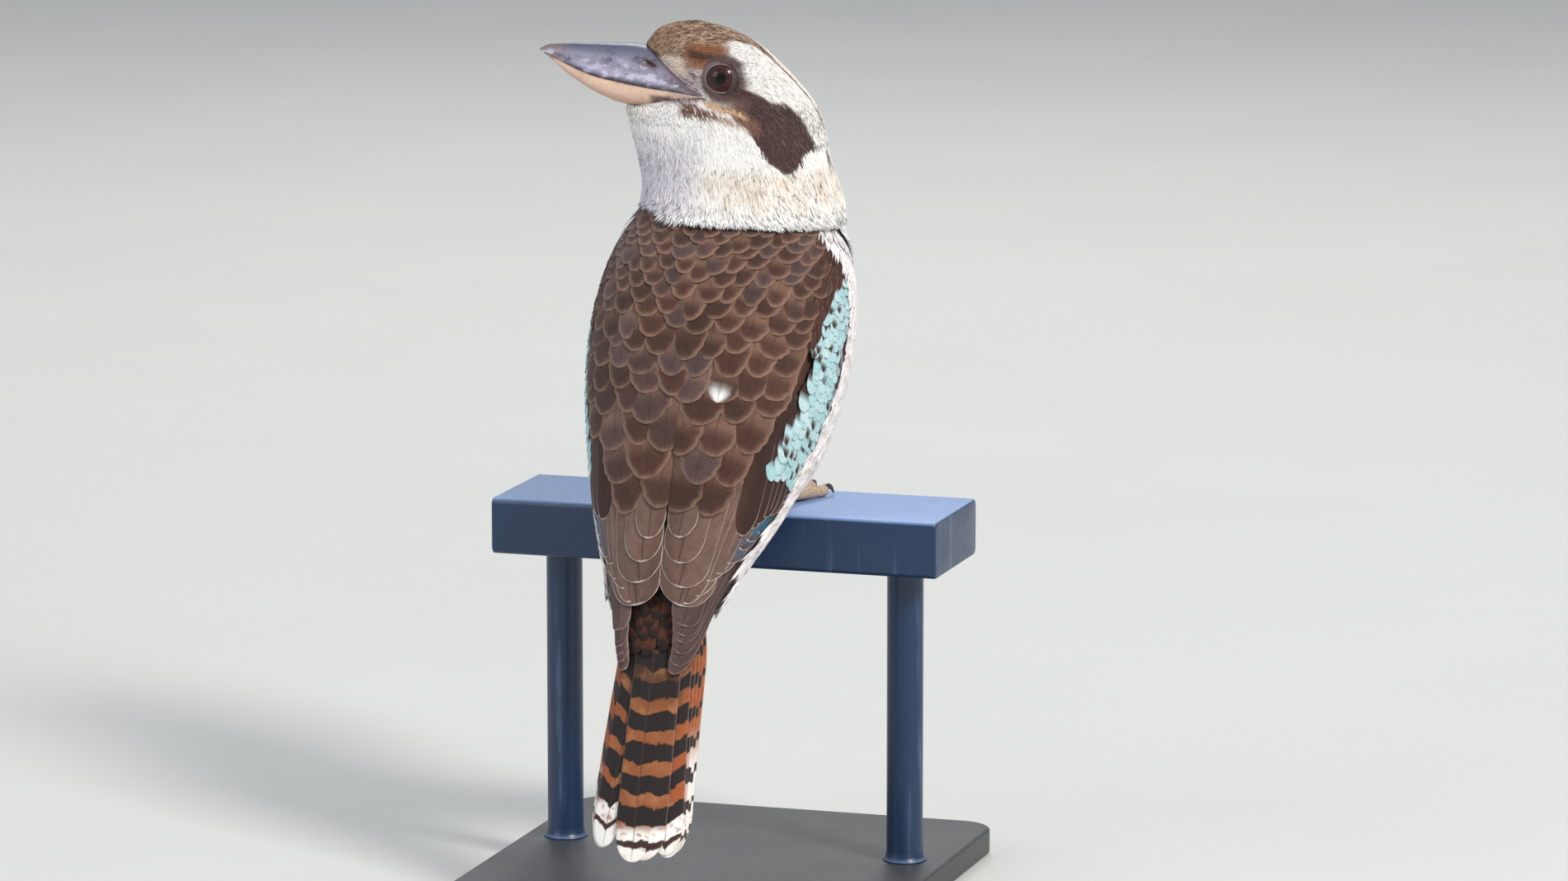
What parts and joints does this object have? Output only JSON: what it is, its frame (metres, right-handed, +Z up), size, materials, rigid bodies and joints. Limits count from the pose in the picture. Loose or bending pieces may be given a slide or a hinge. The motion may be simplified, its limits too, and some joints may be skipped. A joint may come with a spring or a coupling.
{
  "type": "laughing kookaburra",
  "caption": "Life-size laughing kookaburra perched on a short blue metal rail with its head turned back over the left shoulder, held by a plain stand",
  "frame": {"origin": "centre of the base's underside", "axes": "+Z up, +Y the way the breast faces, +X along the rail to the bird's right"},
  "size_m": [0.204, 0.2272, 0.38],
  "materials": {
    "white_plumage": "soft white and cream feathers",
    "brown_plumage": "brown feathers with pale fringes",
    "tail_plumage": "rufous feathers with dark bars and white tips",
    "eye": "wet dark red-brown iris and black pupil",
    "bill_upper": "satin blue-grey horn with dark patches",
    "bill_lower": "satin pale horn",
    "foot": "scaled pinkish-yellow skin and dark claws",
    "blue_paint": "weathered satin blue paint",
    "base_paint": "matt dark grey paint"
  },
  "bodies": {
    "root": {"stand_base": "base_paint", "stand_rod_left": "blue_paint", "stand_rod_right": "blue_paint", "perch_rail": "blue_paint", "torso": "brown_plumage", "neck": "white_plumage", "head": "white_plumage", "bill_upper": "bill_upper", "bill_lower": "bill_lower", "eye_left": "eye", "wing_left": "brown_plumage", "leg_left": "white_plumage", "foot_left": "foot", "eye_right": "eye", "wing_right": "brown_plumage", "leg_right": "white_plumage", "foot_right": "foot", "tail": "tail_plumage"}
  },
  "joints": []
}
